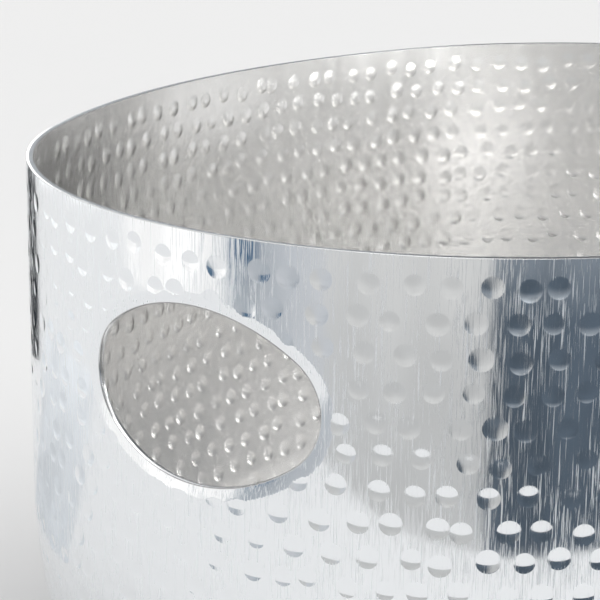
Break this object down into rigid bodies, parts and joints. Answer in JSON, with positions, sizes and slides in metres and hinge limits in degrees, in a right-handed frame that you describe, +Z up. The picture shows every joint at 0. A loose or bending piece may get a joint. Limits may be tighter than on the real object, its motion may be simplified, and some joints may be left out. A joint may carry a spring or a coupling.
{
  "type": "champagne bucket",
  "caption": "Oval hammered-aluminium champagne bucket with an open top, a plain cut rim, two oval hand holes through its ends and a dished base on small bumper feet.",
  "frame": {"origin": "on the table, under the middle of the bucket", "axes": "+Z up, +X along the long axis through both hand holes, +Y across the short axis"},
  "size_m": [0.44, 0.3358, 0.23],
  "materials": {
    "hammered_aluminium": "hammered and brushed, satin",
    "weld_metal": "ground flush and brushed",
    "clear_bumper": "clear moulded polyurethane, soft gloss"
  },
  "bodies": {
    "root": {"side_wall": "hammered_aluminium", "wall_seam_weld": "weld_metal", "base_seam_weld": "weld_metal", "base_pan": "hammered_aluminium", "foot_left_front": "clear_bumper", "foot_left_back": "clear_bumper", "foot_right_front": "clear_bumper", "foot_right_back": "clear_bumper"}
  },
  "joints": []
}
